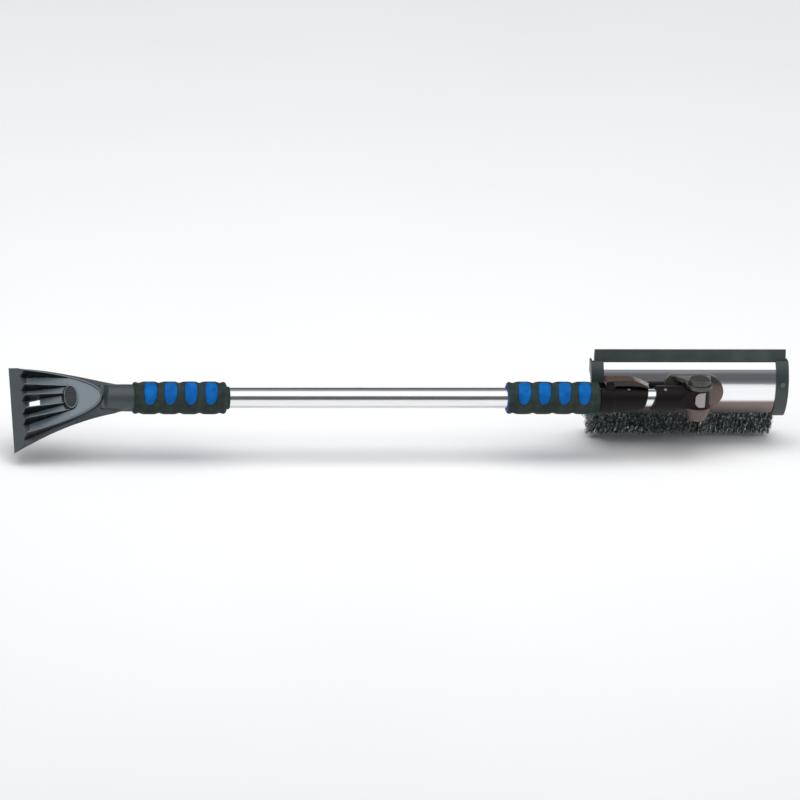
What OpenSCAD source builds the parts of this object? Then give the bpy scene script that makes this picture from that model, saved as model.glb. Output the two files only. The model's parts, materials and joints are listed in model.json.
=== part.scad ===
// Telescopic snow broom: ice scraper, foam grips, cam lock and a swivelling brush and squeegee head.
// The handle lies along X, with the scraper at -X. Z runs along the head's pivot pin, and -Y is the
// side that faces a person who holds the broom. The origin is the centre of the scraper's hang slot.

/* [Handle] */
// Outside diameter of the outer tube
tube_d = 25; // [24.5:0.1:25.5]
// Wall of the outer tube and of the inner tube
tube_wall = 1.2; // [1:0.1:1.3]
// Length of each foam grip
grip_len = 113; // [104:1:120]
// Outside diameter of the foam grips
grip_d = 39.6; // [38.6:0.2:41]
// Bare tube between the two grips
bare_len = 343.7; // [330:0.1:420]
// How far the inner tube slides out
extension = 350; // [250:10:360]

/* [Scraper] */
// Width of the scraper's blade
blade_w = 116; // [108:1:120]
// Length of the scraper from the rear grip to the blade's edge
scraper_len = 143; // [138:0.5:150]
// Tilt of the scraper's front face above straight forward, about the handle
scraper_roll = 51; // [0:1:90]
// Wall of the moulded scraper
scraper_wall = 2.5; // [2:0.1:3]

/* [Lock] */
// Length of the lock collar
lock_len = 60.5; // [59:0.5:62]
// Width of the cam lever
lever_w = 16.2; // [14:0.1:16.4]
// How far the cam lifts the brake shoe
shoe_lift = 0.2; // [0.1:0.05:0.2]

/* [Head] */
// Length of the head over its end caps
head_len = 245; // [230:1:260]
// Outer radius of the curved aluminium back
shell_r = 48; // [47.5:0.1:48.5]
// Length of the squeegee blade
squeegee_len = 237; // [220:1:240]
// Height of squeegee that shows above the back
squeegee_show = 15.5; // [12:0.5:18]
// Free length of the bristles
bristle_len = 47; // [40:1:52]
// Travel of the pivot's push button
button_travel = 3; // [2:0.1:3.2]

/* [Hidden] */
$fn = 96;

gap = 0.05;            // running clearance, and the space between parts that only touch
slide_gap = 0.3;       // room between the two tubes
soft_fn = 32;          // roundness of hulled shapes

tube_r = tube_d / 2;
tube_bore_r = tube_r - tube_wall;
inner_r = tube_bore_r - slide_gap;
inner_bore_r = inner_r - tube_wall;
grip_r = grip_d / 2;

// Stations along the handle, from the middle of the rear grip
grip_half = grip_len / 2;
front_grip_x = grip_half + bare_len;
lock_x = front_grip_x + grip_len;
lock_end_x = lock_x + lock_len;
arm_x = lock_end_x + 7;
pivot_x = arm_x + 56;
socket_depth = 20;     // how far the outer tube enters the scraper's neck
spigot_len = 60;       // scraper spigot inside the outer tube
tube_start_x = -grip_half - socket_depth;
tube_end_x = lock_x + 40;
inner_end_x = pivot_x - 22;
tube_overlap = 100;    // inner tube left inside the outer tube at full stretch
inner_start_x = tube_end_x - extension - tube_overlap;

// Scraper: distances u run from the rear grip towards the blade's edge
foot_u = scraper_len - 19;     // where the plate levels out before the blade
rim_u = scraper_len - 14;      // where the ribs and the tongue's rim end
ramp_u = scraper_len - 12;     // where the blade's bevel begins
apex_u = 39.5;                 // round end of the raised tongue
half_blade = blade_w / 2;
edge_n = -32.5;                // blade edge, behind the handle's axis
edge_t = 0.5;                  // rounding of the blade's front edge
ramp_n = -23.6;                // front of the bevel
plate_slope = 0.49;
step_n = 4;                    // top of the body between the neck and the tongue
slot_u = scraper_len - 27.25;
slot_size = [12.5, 13];
badge_u = 75.6;
badge_size = [13, 27];
neck_r = 16.4;
neck_u = 31.5;
neck_screw_x = -10;

function rise(a, b, k) = k <= 0 ? a : k >= 1 ? b : a + (b - a) * k;
function share(u, from, to) = min(1, max(0, (u - from) / (to - from)));
// Top of the tongue's rim and of the ribs
function rim_n(u) = 7.6 - 0.16 * (u - apex_u);
// The plate runs straight down to the blade's edge
function plate_n(u) = edge_n + edge_t + plate_slope * (scraper_len - u);
// Front of the tongue, which turns into the plate
function floor_n(u) = u < foot_u ? min(rim_n(u) - 0.9, plate_n(u))
  : rise(plate_n(foot_u), ramp_n, share(u, foot_u, ramp_u));
function panel_w(u) = (half_blade - 16) * pow(share(u, apex_u, ramp_u), 0.48);
// Half width and height of the skirt's outer edge, and height of the foot of the tongue's wall
function skirt_w(u) = 15 + 3 * share(u, 6, 22) + (half_blade - 18) * pow(share(u, 12, scraper_len), 1.25);
function skirt_n(u) = edge_n * pow(share(u, 10, scraper_len), 2.8);
function foot_n(u) = rise(step_n, skirt_n(u) + 0.8, share(u, apex_u - 1.5, 75));

hang_n = floor_n(slot_u) - scraper_wall / 2;
hang_point = [
  -grip_half - slot_u,
  -hang_n * cos(scraper_roll),
  hang_n * sin(scraper_roll)
];

// Cam lock
pin_x = lock_x + 12;
pin_z = tube_r + 7;
cam_r = 6;
cam_offset = 2 * shoe_lift;   // eccentric throw, enough to free the shoe
shoe_top_z = pin_z - cam_r - cam_offset - gap;
rivet_x = tube_end_x - 5;
end_tilt = 12.4;       // slant of the collar's mouth and of the arm's end
rivet_tilt = 60;       // direction of the cross rivets above straight forward
rivet_r = 1.6;

// Pivot stack, heights on the pin's axis
knuckle_r = 13.7;
knuckle_z = [-10, 14];
plate_t = 0.8;         // bright metal insert in the front of the knuckle
plate_half_h = 9.3;
ear_r = 16;
ear_top_z = 19;
lower_ear_z = -14;
boss_z = -27;
journal_r = 10;
axle_step_z = -5;
axle_stem_r = 5;
axle_top_z = 16.5;
button_r = 13.4;
button_top_z = 25.5;
button_roof_z = 21.5;
button_foot_z = 1;
button_flange_z = knuckle_z[1] + button_travel + 0.2;
button_h = button_top_z - button_flange_z;
spring_r = 6.6;
spring_wire_r = 0.6;
spring_turns = 6;

// Head section, in the plane across the head: first number is Y, second is Z
head_x = pivot_x - 6;
cap_len = 15.7;
cap_wall = 2.5;
shell_wall = 2;
arc_c = [shell_r + 24.8, -2.4];
arc_low = -43;
arc_high = 32;
squeegee_lean = 11;
squeegee_mouth = [42.2, 29.8];
brush_lean = 33;
brush_corner = [39.6, -34.5];
brush_w = 22;
brush_h = 12;
head_inner = head_len - 2 * cap_wall;
pad_proud = 3.5;
pad_left = 38.5;
pad_right = 35.5;
pad_r = 22.5;
pad_corner = 12;
pad_z = -2.5;
screw_x = 9;
screw_z = [-5.5, 9.5];
plate_y = 31.8;
cap_top_z = 32.6;
cap_screw_angle = 10.9;

// Frames and shared shapes ------------------------------------------------------------------------

// Everything is drawn about the handle's axis, then moved so that the hang slot is the origin
module in_frame() {
  translate(-hang_point) children();
}

module along_x(x0, x1, r) {
  translate([x0, 0, 0]) rotate([0, 90, 0]) cylinder(h = x1 - x0, r = r);
}

// Turns a profile of [radius, distance along the handle]
module lathe_x(x0) {
  translate([x0, 0, 0]) rotate([0, 90, 0]) rotate_extrude() children();
}

module ring_x(x0, x1, r_out, r_in) {
  difference() {
    along_x(x0, x1, r_out);
    along_x(x0 - 1, x1 + 1, r_in);
  }
}

// Extrudes a [Y, Z] section along X, centred on the head
module head_section(len, centre = head_x) {
  translate([centre - len / 2, 0, 0]) rotate([90, 0, 90]) linear_extrude(len) children();
}

// Front direction of the scraper becomes +Z, its width Y, and -X still points to the blade
module scraper_frame() {
  translate([-grip_half, 0, 0]) rotate([90 - scraper_roll, 0, 0]) children();
}

// A rod of radius r from the handle's axis outwards, tilt degrees above straight forward
module radial_rod(x, tilt, r, from, to) {
  translate([x, 0, 0]) rotate([90 - tilt, 0, 0]) translate([0, 0, from]) cylinder(h = to - from, r = r);
}

// Handle ------------------------------------------------------------------------------------------

module outer_tube() {
  color("silver") in_frame() difference() {
    ring_x(tube_start_x, tube_end_x, tube_r, tube_bore_r);
    translate([pin_x - 6.5, -6.8, 0]) cube([13, 13.6, tube_r + 1]);
    radial_rod(rivet_x, rivet_tilt, rivet_r + gap, -tube_r - 1, tube_r + 1);
    scraper_frame() translate([neck_screw_x, 0, -tube_r - 1]) cylinder(h = tube_r, r = rivet_r + gap);
  }
}

module inner_tube() {
  color("gainsboro") in_frame() difference() {
    ring_x(inner_start_x, inner_end_x, inner_r, inner_bore_r);
    radial_rod(arm_x + 13, rivet_tilt, rivet_r + gap, -tube_r - 1, tube_r + 1);
  }
}

module guide_plug() {
  color("dimgray") in_frame() {
    along_x(inner_start_x - 12, inner_start_x - gap, tube_bore_r - gap);
    along_x(inner_start_x - 1, inner_start_x + 20, inner_bore_r - gap);
  }
}

// Foam: a firm core tube with raised pads that fill the windows of the soft outer cover
oval_tilt = 42;
oval_pitch = 24.6;
oval_half = [7.9, 14.4];   // half width along the grip, and half height as seen from straight above
core_r = 16.5;
lobes = 4;

module oval_rod(inset, to) {
  linear_extrude(to) polygon([for (k = [0 : 23])
    [(oval_half[0] - inset) * cos(15 * k), (oval_half[1] - inset) * sin(15 * k)]]);
}

module ovals(x0, inset, to) {
  for (i = [0 : lobes - 1], back = [0, 180])
    translate([x0 + grip_half + (i - (lobes - 1) / 2) * oval_pitch, 0, 0])
      rotate([90 - oval_tilt + back, 0, 0]) oval_rod(inset, to);
}

module grip_core(x0) {
  difference() {
    union() {
      along_x(x0 + 1, x0 + grip_len - 1, core_r);
      intersection() {
        ovals(x0, 0.3, grip_r);
        along_x(x0, x0 + grip_len, grip_r - 1);
      }
    }
    along_x(x0 - 1, x0 + grip_len + 1, tube_r + gap);
  }
}

function cover_r(k) = let (wave = abs(cos(180 * lobes * k * 1.06 - 10)))
  grip_r - 1.4 * pow(wave, 6) - 1.2 * pow(abs(2 * k - 1), 12);

module grip_cover(x0, collar = 0) {
  steps = 28;
  if (collar > 0) {
    ring_x(x0 + grip_len - 0.9, x0 + grip_len, core_r + 1, tube_r + gap);
    ring_x(x0 + grip_len - 0.5, x0 + grip_len + collar, tube_r + 1.1, tube_r + gap);
  }
  difference() {
    lathe_x(x0) polygon(concat(
      [[core_r + gap, 0]],
      [for (i = [0 : steps]) [cover_r(i / steps), grip_len * i / steps]],
      [[core_r + gap, grip_len]]
    ));
    ovals(x0, 0, grip_r + 2);
  }
}

module rear_grip_core() {
  color("royalblue") in_frame() grip_core(-grip_half);
}

module rear_grip_cover() {
  color("#2b3333") in_frame() grip_cover(-grip_half, 4);
}

module front_grip_core() {
  color("royalblue") in_frame() grip_core(front_grip_x);
}

module front_grip_cover() {
  color("#2b3333") in_frame() grip_cover(front_grip_x);
}

// Scraper -----------------------------------------------------------------------------------------

// One closed cross-section at distance u from its half, given as [half width, height] points
function ring(u, half) = concat(
  [for (p = half) [-u, p[0], p[1]]],
  [for (k = [len(half) - 1 : -1 : 0]) [-u, -half[k][0], half[k][1]]]
);

// Front of the tongue or plate, rim, wall, skirt and the hollow back, in that order
function body_ring(u) =
  let (
    in_panel = u > apex_u && u < ramp_u,
    in_hollow = u > hollow_u[0] && u < hollow_u[1],
    bevel = rise(ramp_n, edge_n + edge_t, share(u, ramp_u, scraper_len)),
    top = u < apex_u ? step_n : u <= rim_u ? rim_n(u) : bevel,
    panel = max(0.6, panel_w(u)),
    rim = u < apex_u ? 12 : panel + 1.8,
    foot = u >= apex_u && u <= rim_u ? foot_n(u) : top - 0.4,
    reach = max(skirt_w(u), rim + 2.2),
    back = skirt_n(u) - rise(scraper_wall, 0.8, share(u, foot_u, scraper_len)),
    hollow = max(6, panel_w(u) - scraper_wall)
  )
  ring(u, [
    [panel, in_panel ? floor_n(u) : top - 0.02],
    [panel + 0.3, top],
    [rim, top],
    [rim + 1.4, foot],
    [reach, skirt_n(u)],
    [reach - 0.8, back],
    [hollow, back],
    [hollow - 0.3, in_hollow ? floor_n(u) - scraper_wall : back + 0.02]
  ]);

hollow_u = [47, foot_u];
scraper_rings = [for (u = concat(
  [0, 8, 14, 20, 26, 32, apex_u - 1.5, apex_u, apex_u + 0.3, 41, 43, hollow_u[0], hollow_u[0] + 0.3],
  [for (u = [52 : 6 : hollow_u[1] - 3]) u],
  [hollow_u[1] - 0.3, hollow_u[1], rim_u, ramp_u, scraper_len]
)) body_ring(u)];

module loft(rings) {
  n = len(rings[0]);
  last = len(rings) - 1;
  polyhedron(
    points = [for (r = rings) each r],
    faces = concat(
      [[for (i = [0 : n - 1]) i]],
      [for (k = [0 : last - 1], i = [0 : n - 1], half = [0, 1])
        let (a = k * n + i, b = k * n + (i + 1) % n)
          half == 0 ? [a, b + n, b] : [a, a + n, b + n]],
      [[for (i = [n - 1 : -1 : 0]) last * n + i]]
    ),
    convexity = 8
  );
}

// Four stiffening ribs that fan out from the badge to the blade
rib_blade_w = [9, 23.3];
rib_badge_w = [6, 15.9];
rib_t = 1.7;

module ribs() {
  us = [for (u = [badge_u : 6 : rim_u - 2]) u];
  for (side = [-1, 1], i = [0, 1]) {
    fan = atan((rib_blade_w[i] - rib_badge_w[i]) / (ramp_u - badge_u));
    translate([-badge_u, side * rib_badge_w[i], 0]) rotate([90, 0, -side * fan])
      translate([badge_u, 0, -rib_t / 2]) linear_extrude(rib_t) polygon(concat(
        [for (u = us) [-u, rim_n(u) - 0.1]],
        [[-rim_u, rim_n(rim_u) - 0.1], [-ramp_u - 0.5, ramp_n - 1]],
        [[-foot_u, plate_n(foot_u) - 1], [-badge_u, floor_n(badge_u) - 1]]
      ));
  }
}

module oval_prism(grow, height) {
  linear_extrude(height) polygon([for (k = [0 : 39])
    [(badge_size[0] / 2 + grow) * cos(9 * k), (badge_size[1] / 2 + grow) * sin(9 * k)]]);
}

module scraper_solid() {
  difference() {
    union() {
      loft(scraper_rings);
      ribs();
    }
    translate([-slot_u - slot_size[0] / 2, -slot_size[1] / 2, -50]) cube([slot_size[0], slot_size[1], 100]);
  }
}

module scraper_neck() {
  along_x(-neck_u, 0, neck_r);
  hull() {
    along_x(-neck_u - 0.5, -neck_u, neck_r, $fn = soft_fn);
    translate([-neck_u - 5, -11, -2]) cube([1, 22, step_n + 2]);
  }
}

module scraper_head() {
  color("#454b4e") in_frame() scraper_frame() difference() {
    union() {
      difference() {
        union() {
          scraper_solid();
          scraper_neck();
          translate([-badge_u, 0, -3.2]) oval_prism(2.2, 7.2);
        }
        along_x(-socket_depth, 1, tube_r + gap);
        translate([-badge_u, 0, 2.4]) oval_prism(gap, 10);
      }
      ring_x(-socket_depth - 0.5, spigot_len - socket_depth, tube_bore_r - gap, tube_bore_r - 3);
    }
    translate([neck_screw_x, 0, -neck_r - 10]) cylinder(h = neck_r + 4, r = rivet_r + gap);
    translate([neck_screw_x, 0, -neck_r - 10]) cylinder(h = 11.2, r = 3.3);
  }
}

module oval_badge() {
  color("#22282a") in_frame() scraper_frame() translate([-badge_u, 0, 2.45]) {
    oval_prism(-0.3, 1);
    intersection() {
      oval_prism(-0.8, 1.8);
      for (y = [-12 : 3 : 12]) translate([-10, y - 0.6, 0]) cube([20, 1.2, 1.6]);
    }
  }
}

module scraper_screw() {
  color("gray") in_frame() scraper_frame() translate([neck_screw_x, 0, 0]) {
    translate([0, 0, -neck_r + 1.3 - 1.8]) cylinder(h = 1.7, r = 3);
    translate([0, 0, -neck_r]) cylinder(h = 6.5, r = rivet_r - gap);
  }
}

// Cam lock ----------------------------------------------------------------------------------------

module tilted_end(x, side) {
  translate([x, 0, 0]) rotate([0, end_tilt, 0])
    translate([side > 0 ? 0 : -40, -40, -40]) cube([40, 80, 80]);
}

module lock_collar() {
  color("#241f21") in_frame() difference() {
    union() {
      lathe_x(lock_x) polygon([
        [tube_r + gap, 0], [17.4, 0], [18.6, 2], [18.6, 15], [17, 18], [16.4, 30],
        [15.2, 46], [13.6, lock_len], [inner_r + slide_gap, lock_len],
        [inner_r + slide_gap, 50.6], [tube_r + gap, 50.6]
      ]);
      for (side = [-1, 1]) hull() {
        translate([pin_x, side * (lever_w / 2 + 1.9), pin_z]) rotate([90, 0, 0])
          cylinder(h = 3.2, r = 5, center = true, $fn = soft_fn);
        translate([pin_x - 7, side * (lever_w / 2 + 1.9) - 1.6, tube_r - 2]) cube([14, 3.2, 1]);
      }
    }
    translate([lock_x - 1, -lever_w / 2 - 0.25, 0]) cube([20, lever_w + 0.5, 60]);
    along_x(lock_x - 1, lock_x + 40, tube_r + gap);
    tilted_end(lock_end_x - 3, 1);
    translate([pin_x, 0, pin_z]) rotate([90, 0, 0]) cylinder(h = 40, r = 2 + gap, center = true);
    radial_rod(rivet_x, rivet_tilt, rivet_r + gap, -30, 30);
  }
}

module collar_bush() {
  color("whitesmoke") in_frame() ring_x(tube_end_x + gap, lock_x + 50.5, tube_r, inner_r + gap);
}

module rivet(x, half, head_r) {
  radial_rod(x, rivet_tilt, rivet_r - gap, half - 4.5, half);
  radial_rod(x, rivet_tilt, head_r, half, half + 0.9);
}

module collar_rivets() {
  color("silver") in_frame() {
    rivet(rivet_x, 16.4, 2);
    mirror([0, 1, 0]) mirror([0, 0, 1]) rivet(rivet_x, 16.4, 2);
  }
}

module lever_pin() {
  color("silver") in_frame() translate([pin_x, 0, pin_z]) rotate([90, 0, 0]) {
    cylinder(h = lever_w + 7.4, r = 2, center = true);
    for (side = [-1, 1]) translate([0, 0, side * (lever_w / 2 + 3.9)])
      cylinder(h = 0.6, r = 2.6, center = true);
  }
}

module cam_lever() {
  color("#33292b") in_frame() translate([pin_x, lever_w / 2, pin_z]) rotate([90, 0, 0])
    difference() {
      union() {
        translate([0, -cam_offset, 0]) cylinder(h = lever_w, r = cam_r);
        linear_extrude(lever_w) polygon([
          [0, 5.6], [6, 6.6], [22, 6.8], [30, 5.6], [38, 2.6], [46, -1.2], [48.6, -2.9],
          [47.6, -4.6], [38, -1.2], [24, -0.6], [9, -1.4], [3, -3]
        ]);
      }
      translate([0, 0, -1]) cylinder(h = lever_w + 2, r = 2 + gap);
    }
}

module brake_shoe() {
  color("dimgray") in_frame() difference() {
    translate([pin_x - 5.5, -6.3, 6]) cube([11, 12.6, shoe_top_z - 6]);
    along_x(pin_x - 10, pin_x + 10, inner_r + gap);
  }
}

// Swivelling arm and pivot ------------------------------------------------------------------------

module pivot_arm() {
  color("#1d191b") in_frame() difference() {
    union() {
      difference() {
        lathe_x(arm_x - 3) polygon([
          [0, 0], [13.6, 0], [14.8, 2.5], [15.4, 12], [15.4, 30], [14.8, 35], [0, 35]
        ]);
        tilted_end(arm_x, -1);
      }
      hull() {
        along_x(pivot_x - 26, pivot_x - 24.5, 14.8, $fn = soft_fn);
        translate([pivot_x - 17.5, -12.6, knuckle_z[0] + 0.6]) cube([1, 25.2, 22.6]);
      }
      translate([pivot_x - 17, -12.6, knuckle_z[0] + 0.6]) cube([17, 25.2, 22.6]);
      translate([pivot_x, 0, knuckle_z[0] + 0.1]) cylinder(h = 23.8, r = knuckle_r);
    }
    along_x(arm_x - 10, inner_end_x + 1, inner_r + gap);
    translate([pivot_x, 0, -40]) cylinder(h = 80, r = journal_r);
    knuckle_band(gap);
    radial_rod(arm_x + 13, rivet_tilt, rivet_r + gap, -30, 30);
  }
}

// Outer skin of the knuckle's front, straight on the right and round on the left
module knuckle_band(grow) {
  intersection() {
    translate([pivot_x, 0, 0]) rotate([90, 0, 0]) linear_extrude(2 * knuckle_r) intersection() {
      translate([3.4, 2]) circle(10.2 + grow);
      translate([-8, 2 - plate_half_h - grow]) square([14.3 + grow, 2 * (plate_half_h + grow)]);
    }
    translate([pivot_x, 0, knuckle_z[0]]) difference() {
      cylinder(h = 26, r = knuckle_r + grow);
      translate([0, 0, -1]) cylinder(h = 28, r = knuckle_r - plate_t - grow);
    }
  }
}

module knuckle_plate() {
  color("silver") in_frame() knuckle_band(0);
}

module arm_rivet() {
  color("silver") in_frame() {
    rivet(arm_x + 13, 15.4, 2);
    mirror([0, 1, 0]) mirror([0, 0, 1]) rivet(arm_x + 13, 15.4, 2);
  }
}

module arc_cylinder(r, len = 400) {
  translate([0, arc_c[0], arc_c[1]]) along_x(head_x - len / 2, head_x + len / 2, r);
}

function arc(centre, r, from, to) =
  [for (k = [0 : 12]) let (a = from + (to - from) * k / 12) centre + r * [cos(a), sin(a)]];

// Outline of the curved pad that lies on the back, in [X, Z]: round on the right, squarer on the left
module pad_2d() {
  polygon(concat(
    arc([pad_right - pad_r, pad_z], pad_r, -90, 90),
    arc([-pad_left + pad_corner, pad_z + pad_r - pad_corner], pad_corner, 90, 180),
    arc([-pad_left + pad_corner, pad_z - pad_r + pad_corner], pad_corner, 180, 270)
  ));
}

// Ear of the clevis: round at the pin, flaring into the curved pad
module ear(z, height, flare) {
  translate([pivot_x, 0, z]) linear_extrude(height) {
    circle(ear_r);
    polygon([
      [-15.6, 3], [-16.5, 10], [-18.5 - flare / 4, 16], [-21 - flare / 2, 21], [-23 - flare, 25],
      [-23 - flare, 40], [20, 40], [18.5, 25], [17, 18], [16, 10], [15.6, 3]
    ]);
  }
}

module pivot_base() {
  color("#4a4140") in_frame() difference() {
    union() {
      intersection() {
        translate([pivot_x, 60, 0]) rotate([90, 0, 0]) linear_extrude(60) pad_2d();
        arc_cylinder(shell_r + pad_proud);
      }
      ear(knuckle_z[1], ear_top_z - knuckle_z[1], 7);
      ear(lower_ear_z, knuckle_z[0] - lower_ear_z, 0);
      translate([pivot_x - 14, 16.8, lower_ear_z]) cube([28, 20, ear_top_z - lower_ear_z]);
      translate([pivot_x, 0, boss_z]) cylinder(h = lower_ear_z - boss_z, r1 = 11, r2 = 15.8);
    }
    arc_cylinder(shell_r + gap);
    translate([pivot_x, 0, knuckle_z[1] - 1])
      cylinder(h = button_flange_z + 2.05 - knuckle_z[1], r = button_r + 0.9);
    translate([pivot_x, 0, knuckle_z[1]]) cylinder(h = 20, r = button_r + 0.1);
    translate([pivot_x, 0, lower_ear_z]) cylinder(h = 20, r = journal_r);
    translate([pivot_x, 0, boss_z - 1]) cylinder(h = 7, r = 4.5);
    translate([pivot_x, 0, boss_z - 1]) cylinder(h = 20, r = 2.1);
    base_screw_holes(1.75 + gap);
  }
}

module base_screw_holes(r) {
  for (side = [-1, 1], z = screw_z)
    translate([pivot_x + side * screw_x, 19.5, z]) rotate([-90, 0, 0]) cylinder(h = 20, r = r);
}

module pivot_axle() {
  color("silver") in_frame() translate([pivot_x, 0, 0]) difference() {
    union() {
      translate([0, 0, lower_ear_z + gap])
        cylinder(h = axle_step_z - lower_ear_z - gap, r = journal_r - gap);
      translate([0, 0, axle_step_z]) cylinder(h = axle_top_z - axle_step_z, r = axle_stem_r);
    }
    translate([0, 0, lower_ear_z - 1]) cylinder(h = 18, r = 1.8);
  }
}

module axle_screw() {
  color("gray") in_frame() translate([pivot_x, 0, boss_z + 3]) {
    cylinder(h = 2.9, r = 4.2);
    cylinder(h = 22, r = 1.75);
  }
}

module pivot_button() {
  color("#4a4244") in_frame() translate([pivot_x, 0, 0]) difference() {
    union() {
      translate([0, 0, button_foot_z])
        cylinder(h = button_flange_z + 0.8 - button_foot_z, r = journal_r - 2 * gap);
      translate([0, 0, button_flange_z]) cylinder(h = 1, r = button_r + 0.8);
      translate([0, 0, button_flange_z]) rotate_extrude() polygon([
        [0, 0], [button_r, 0], [button_r, button_h - 1.8], [button_r - 0.6, button_h - 0.6],
        [button_r - 1.8, button_h], [0, button_h]
      ]);
    }
    cylinder(h = button_roof_z, r = 8);
  }
}

// A round wire wound between two heights, as short overlapping straight pieces
module button_spring() {
  bottom = axle_step_z + spring_wire_r + gap;
  top = button_roof_z - spring_wire_r - gap;
  steps = 16 * spring_turns;
  function at(i) = [
    spring_r * cos(360 * i / 16), spring_r * sin(360 * i / 16), bottom + (top - bottom) * i / steps
  ];
  ring_n = 8;
  pitch = atan((top - bottom) / spring_turns / (2 * PI * spring_r));
  points = [for (i = [0 : steps], j = [0 : ring_n - 1])
    let (a = 360 * i / 16, b = 360 * j / ring_n)
      at(i) + spring_wire_r * (cos(b) * [cos(a), sin(a), 0]
        + sin(b) * [sin(pitch) * sin(a), -sin(pitch) * cos(a), cos(pitch)])];
  color("silver") in_frame() translate([pivot_x, 0, 0]) polyhedron(
    points = points,
    faces = concat(
      [[for (j = [ring_n - 1 : -1 : 0]) j]],
      [for (i = [0 : steps - 1], j = [0 : ring_n - 1])
        [i * ring_n + j, i * ring_n + (j + 1) % ring_n,
          (i + 1) * ring_n + (j + 1) % ring_n, (i + 1) * ring_n + j]],
      [[for (j = [0 : ring_n - 1]) steps * ring_n + j]]
    ),
    convexity = 10
  );
}

// Head --------------------------------------------------------------------------------------------

module wedge_2d(low, high, reach) {
  polygon([
    [0, 0],
    for (k = [0 : 8]) let (a = low + (high - low) * k / 8) reach * [-cos(a), sin(a)]
  ]);
}

module arc_band_2d(r_in, r_out, low, high) {
  translate(arc_c) intersection() {
    difference() {
      circle(r_out);
      circle(r_in);
    }
    wedge_2d(low, high, 2 * r_out);
  }
}

module squeegee_axis_2d() {
  translate(squeegee_mouth) rotate(-squeegee_lean) children();
}

module brush_axis_2d() {
  translate(brush_corner) rotate(brush_lean) children();
}

module shell_solid(len) {
  head_section(len) arc_band_2d(shell_r - shell_wall, shell_r, arc_low, arc_high + 1);
  head_section(len) squeegee_axis_2d() translate([-3.7, -10.6]) square([7.4, 10.6]);
  head_section(len) polygon([[32.1, 23], [38.57, 30.5], [37.6, 24], [36.7, 20.1], [33.8, 21.6]]);
  head_section(len) brush_axis_2d() translate([-1.7, 0]) square([brush_w + 3.4, brush_h + 1.7]);
}

module back_shell() {
  color("lightgray") in_frame() difference() {
    shell_solid(head_inner - 2 * gap);
    head_section(head_len) squeegee_axis_2d() translate([-2.15, -9]) square([4.3, 12]);
    head_section(head_len) brush_axis_2d() translate([0, -1]) square([brush_w, brush_h + 1]);
    base_screw_holes(2.1);
    cap_screw_rods(rivet_r + gap, shell_r - 10, shell_r + 10);
  }
}

module cap_outline_2d() {
  intersection() {
    translate(arc_c) circle(shell_r + 2.3);
    difference() {
      polygon([[20, cap_top_z], [47.8, cap_top_z], [44.6, 17.6], [52, -9], [61.5, -21.8],
        [39.8, -36], [39, -40], [20, -40]]);
      translate([45, 2.5]) circle(14.8);
    }
  }
}

module cap_screw_rods(r, from, to) {
  for (side = [-1, 1])
    translate([head_x + side * (head_len - cap_len) / 2, arc_c[0], arc_c[1]])
      rotate([90 - cap_screw_angle, 0, 0]) translate([0, 0, from]) cylinder(h = to - from, r = r);
}

module end_cap(side) {
  outer_x = head_x + side * head_len / 2;
  difference() {
    union() {
      difference() {
        head_section(cap_len, outer_x - side * cap_len / 2) cap_outline_2d();
        head_section(cap_len, outer_x - side * (cap_len / 2 + cap_wall))
          translate(arc_c) circle(shell_r + gap);
      }
      head_section(cap_len - 1, outer_x - side * (cap_len - 1) / 2)
        arc_band_2d(shell_r - 5, shell_r - shell_wall - gap, 3, 20);
    }
    cap_screw_rods(rivet_r + gap, shell_r - 7, shell_r + 10);
  }
}

module left_end_cap() {
  color("#3a4444") in_frame() end_cap(-1);
}

module right_end_cap() {
  color("#3a4444") in_frame() end_cap(1);
}

module cap_screws() {
  color("gray") in_frame() {
    cap_screw_rods(rivet_r - gap, shell_r - 4.5, shell_r + 2.8);
    cap_screw_rods(3.2, shell_r + 2.35, shell_r + 3.6);
  }
}

module backing_plate() {
  color("dimgray") in_frame() difference() {
    intersection() {
      translate([pivot_x - 20, 20, arc_c[1] - 13]) cube([40, plate_y - 20, 34]);
      arc_cylinder(shell_r - shell_wall - gap);
    }
    base_screw_holes(2.1);
  }
}

module base_screws() {
  color("gray") in_frame()
    for (side = [-1, 1], z = screw_z)
      translate([pivot_x + side * screw_x, 0, z]) rotate([-90, 0, 0]) {
        translate([0, 0, 20]) cylinder(h = plate_y - 19, r = 1.75);
        translate([0, 0, plate_y + gap]) cylinder(h = 2.2, r = 3.6);
      }
}

module squeegee_blade() {
  color("#33403d") in_frame() head_section(squeegee_len, head_x + 1) squeegee_axis_2d() polygon([
    [-2.1, -8.9], [2.1, -8.9], [2.1, 1], [0.9, squeegee_show], [-1.1, squeegee_show], [-2.1, 1]
  ]);
}

module brush_block() {
  color("#262b2b") in_frame() head_section(head_inner - 2 * gap) brush_axis_2d()
    translate([gap, gap]) square([brush_w - 2 * gap, brush_h - 2 * gap]);
}

module bristles() {
  color("#1f2b2b") in_frame() head_section(head_len - 20) brush_axis_2d() polygon([
    [1.5, 0], [brush_w - 1.5, 0], [brush_w + 4, -bristle_len], [-2, -bristle_len]
  ]);
}

// -------------------------------------------------------------------------------------------------

outer_tube();
scraper_head();
oval_badge();
scraper_screw();
rear_grip_core();
rear_grip_cover();
front_grip_core();
front_grip_cover();
lock_collar();
collar_bush();
collar_rivets();
lever_pin();
cam_lever();
brake_shoe();
inner_tube();
guide_plug();
pivot_arm();
knuckle_plate();
arm_rivet();
pivot_base();
pivot_axle();
axle_screw();
pivot_button();
button_spring();
backing_plate();
base_screws();
back_shell();
left_end_cap();
right_end_cap();
cap_screws();
squeegee_blade();
brush_block();
bristles();
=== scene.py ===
"""Looks of the telescopic snow broom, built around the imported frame.

Lengths are in mm unless a name says metres.
"""

import json
import math

import bpy
import numpy as np
from mathutils import Matrix, Vector


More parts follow.
